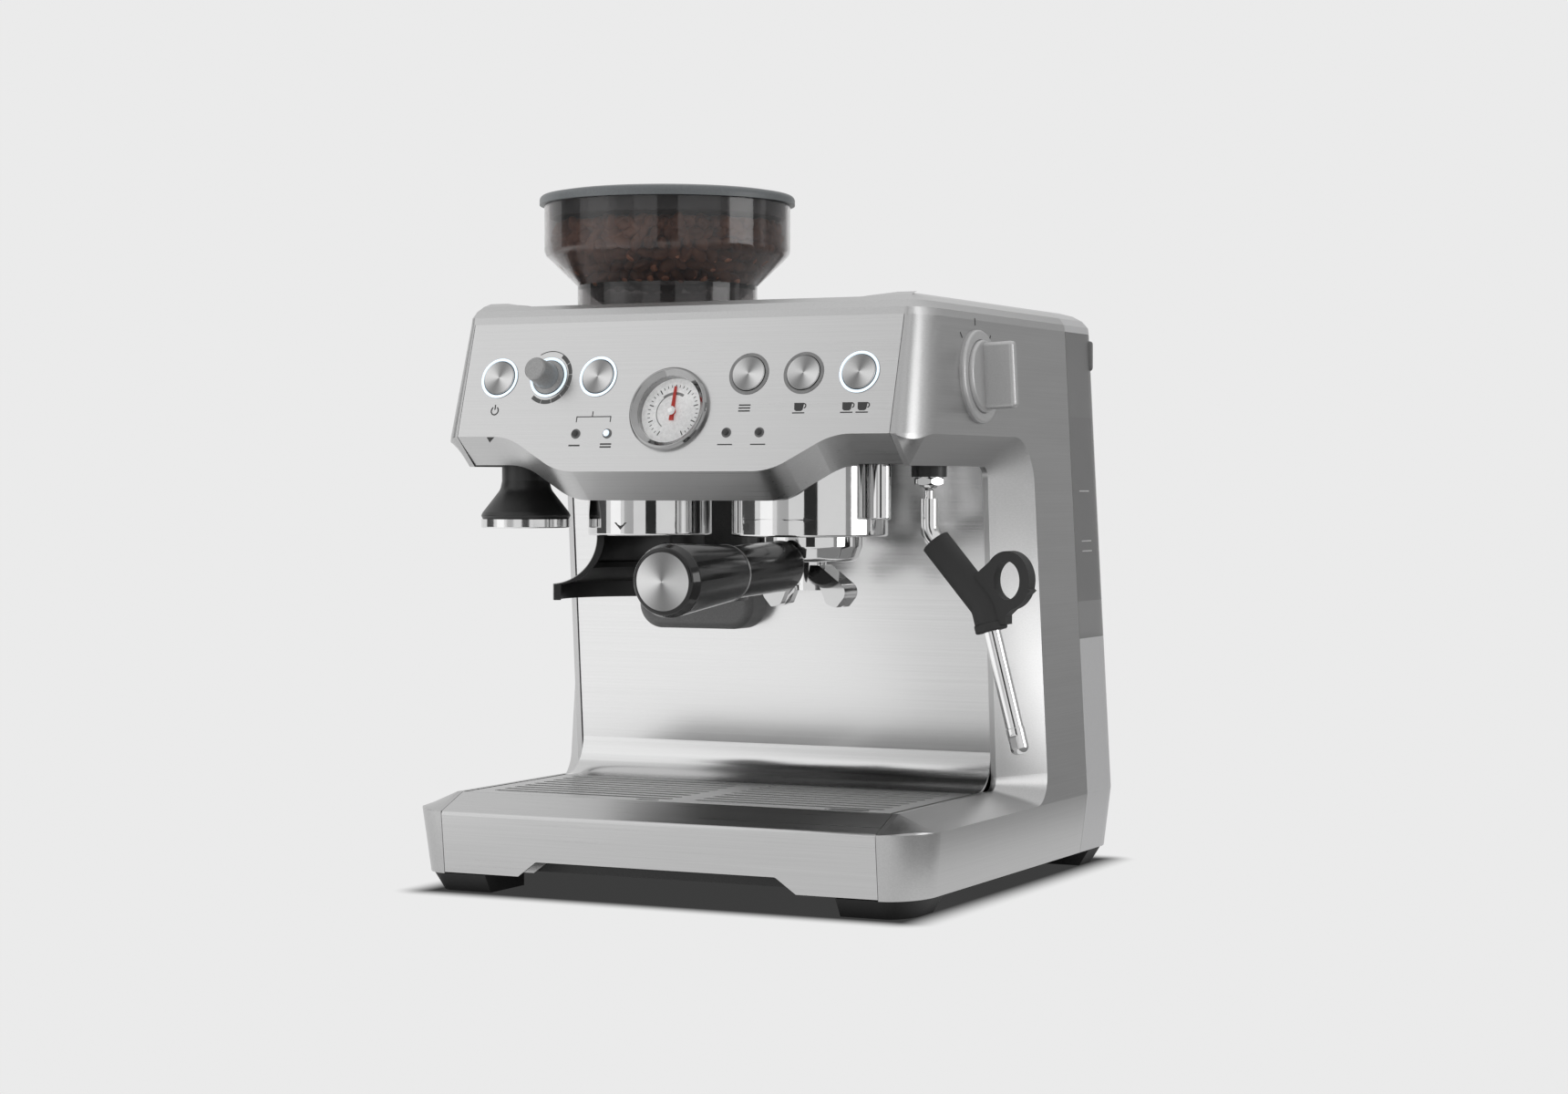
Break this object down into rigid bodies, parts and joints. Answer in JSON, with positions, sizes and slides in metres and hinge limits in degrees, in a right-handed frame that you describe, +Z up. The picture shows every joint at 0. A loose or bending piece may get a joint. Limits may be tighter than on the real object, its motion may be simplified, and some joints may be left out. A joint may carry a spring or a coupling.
{
  "type": "espresso machine",
  "caption": "Free-standing espresso machine with a bean grinder, pressure gauge, steam wand, twin-spout portafilter, drip tray and rear water tank in a brushed steel casing.",
  "frame": {"origin": "on the counter, under the middle of the casing's width, 160 mm behind the front edge of the drip tray", "axes": "+X to the machine's right, -Y out of the front, +Z up"},
  "size_m": [0.3496, 0.4169, 0.401],
  "materials": {
    "brushed_case": "fine horizontal brushing",
    "satin_frame": "satin blasted",
    "tray_steel": "brushed",
    "splash_steel": "bright satin",
    "silver_plastic": "silver grey moulded",
    "grey_plastic": "moulded",
    "dark_plastic": "moulded",
    "black_plastic": "satin black",
    "chrome_trim": "polished",
    "dial_white": "printed",
    "clear_lens": "clear",
    "needle_red": "enamel",
    "lit_ring": "translucent, lit",
    "lamp_lens": "lens",
    "spun_steel": "spun",
    "knob_grey": "satin",
    "satin_trim": "satin",
    "dial_silver": "silver paint",
    "cast_body": "cast",
    "seal_rubber": "moulded",
    "wand_steel": "polished steel",
    "black_rubber": "matt",
    "smoke_clear": "smoked clear",
    "lid_grey": "satin",
    "burr_steel": "ground",
    "pump_body": "moulded",
    "board_green": "lacquered",
    "handle_black": "gloss black",
    "grill_steel": "satin",
    "tank_smoke": "smoked clear",
    "foot_rubber": "moulded"
  },
  "bodies": {
    "machine": {"base_pan": "grey_plastic", "rubber_feet": "foot_rubber", "left_side_panel": "brushed_case", "right_side_panel": "brushed_case", "control_fascia": "brushed_case", "top_frame": "satin_frame", "cup_tray": "tray_steel", "splash_plate": "splash_steel", "rear_cover": "silver_plastic", "rear_bulkhead": "grey_plastic", "head_floor": "dark_plastic", "chute_housing": "dark_plastic", "gauge_bezel": "chrome_trim", "gauge_dial": "dial_white", "gauge_lens": "clear_lens", "button_halos": "lit_ring", "indicator_lamps": "lamp_lens", "steam_dial_bezel": "satin_trim", "group_collar": "chrome_trim", "group_head": "cast_body", "group_gasket": "seal_rubber", "shower_screen": "splash_steel", "grinder_collar": "chrome_trim", "grind_cradle": "black_plastic", "hot_water_spout": "chrome_trim", "hopper_socket": "dark_plastic", "grinder_motor": "cast_body", "upper_burr": "burr_steel", "water_pump": "pump_body", "thermocoil": "cast_body", "control_board": "board_green"},
    "power_button": {"button_power": "spun_steel"},
    "filter_button": {"button_filter_size": "spun_steel"},
    "program_button": {"button_program": "spun_steel"},
    "one_cup_button": {"button_one_cup": "spun_steel"},
    "two_cup_button": {"button_two_cup": "spun_steel"},
    "amount_knob": {"grind_amount_knob": "knob_grey"},
    "needle": {"gauge_needle": "needle_red"},
    "steam_knob": {"steam_dial": "dial_silver"},
    "size_knob": {"grind_size_dial": "dial_silver"},
    "hopper": {"hopper_bowl": "smoke_clear"},
    "hopper_cover": {"hopper_lid": "lid_grey"},
    "burr": {"lower_burr": "burr_steel"},
    "portafilter": {"portafilter_bowl": "chrome_trim", "filter_basket": "splash_steel", "pour_spout": "chrome_trim", "portafilter_handle": "handle_black", "handle_cap": "spun_steel"},
    "tamper": {"tamper_body": "black_plastic", "tamper_base": "splash_steel"},
    "wand_swivel_nut": {"wand_nut": "chrome_trim"},
    "wand": {"steam_wand": "wand_steel", "steam_grip": "black_rubber", "steam_tip": "wand_steel"},
    "drip_drawer": {"drip_tray": "dark_plastic", "drip_tray_front": "brushed_case"},
    "grill": {"drip_grill": "grill_steel"},
    "tank": {"tank_body": "tank_smoke"},
    "tank_cover": {"tank_lid": "silver_plastic"},
    "trigger": {"grind_trigger": "dark_plastic"}
  },
  "joints": [
    {"name": "power_press", "type": "slide", "parent": "machine", "child": "power_button", "axis": [0, 0.9568, -0.2909], "range_m": [0, 0.002], "stiffness_N_per_m": 1500},
    {"name": "filter_press", "type": "slide", "parent": "machine", "child": "filter_button", "axis": [0, 0.9568, -0.2909], "range_m": [0, 0.002], "stiffness_N_per_m": 1500},
    {"name": "program_press", "type": "slide", "parent": "machine", "child": "program_button", "axis": [0, 0.9568, -0.2909], "range_m": [0, 0.002], "stiffness_N_per_m": 1500},
    {"name": "one_cup_press", "type": "slide", "parent": "machine", "child": "one_cup_button", "axis": [0, 0.9568, -0.2909], "range_m": [0, 0.002], "stiffness_N_per_m": 1500},
    {"name": "two_cup_press", "type": "slide", "parent": "machine", "child": "two_cup_button", "axis": [0, 0.9568, -0.2909], "range_m": [0, 0.002], "stiffness_N_per_m": 1500},
    {"name": "amount_turn", "type": "hinge", "parent": "machine", "child": "amount_knob", "pos_m": [-0.08, -0.13184, 0.29], "axis": [0, -0.9568, 0.2909], "range_deg": [-135, 135]},
    {"name": "needle_swing", "type": "hinge", "parent": "machine", "child": "needle", "pos_m": [0, -0.13761, 0.271], "axis": [0, -0.9568, 0.2909], "range_deg": [-110, 110]},
    {"name": "steam_turn", "type": "hinge", "parent": "machine", "child": "steam_knob", "pos_m": [0.14582, -0.0485, 0.2895], "axis": [0.9987, 0, 0.0514], "range_deg": [-50, 50]},
    {"name": "size_turn", "type": "hinge", "parent": "machine", "child": "size_knob", "pos_m": [-0.14574, -0.0417, 0.291], "axis": [-0.9987, 0, 0.0514], "range_deg": [-140, 140]},
    {"name": "hopper_lift", "type": "slide", "parent": "machine", "child": "hopper", "axis": [0, 0, 1], "range_m": [0, 0.08]},
    {"name": "hopper_cover_lift", "type": "slide", "parent": "hopper", "child": "hopper_cover", "axis": [0, 0, 1], "range_m": [0, 0.06]},
    {"name": "burr_spin", "type": "hinge", "parent": "machine", "child": "burr", "pos_m": [-0.0525, -0.0417, 0.29], "axis": [0, 0, 1], "continuous": true},
    {"name": "portafilter_turn", "type": "hinge", "parent": "machine", "child": "portafilter", "pos_m": [0.057, -0.078, 0.2], "axis": [0, 0, 1], "range_deg": [-40, 0]},
    {"name": "tamper_pull", "type": "slide", "parent": "machine", "child": "tamper", "axis": [0, 0, -1], "range_m": [0, 0.022]},
    {"name": "wand_swivel", "type": "hinge", "parent": "machine", "child": "wand_swivel_nut", "pos_m": [0.124, -0.0655, 0.23], "axis": [0, 0, 1], "range_deg": [-90, 20]},
    {"name": "wand_tilt", "type": "hinge", "parent": "wand_swivel_nut", "child": "wand", "pos_m": [0.124, -0.0655, 0.2315], "axis": [0, 1, 0], "range_deg": [-10, 25]},
    {"name": "drawer_pull", "type": "slide", "parent": "machine", "child": "drip_drawer", "axis": [0, -1, 0], "range_m": [0, 0.2]},
    {"name": "grill_lift", "type": "slide", "parent": "drip_drawer", "child": "grill", "axis": [0, 0, 1], "range_m": [0, 0.05]},
    {"name": "tank_lift", "type": "slide", "parent": "machine", "child": "tank", "axis": [0, 0, 1], "range_m": [0, 0.15]},
    {"name": "tank_cover_lift", "type": "slide", "parent": "tank", "child": "tank_cover", "axis": [0, 0, 1], "range_m": [0, 0.05]},
    {"name": "trigger_press", "type": "slide", "parent": "machine", "child": "trigger", "axis": [0, 1, 0], "range_m": [0, 0.003], "stiffness_N_per_m": 1500}
  ]
}
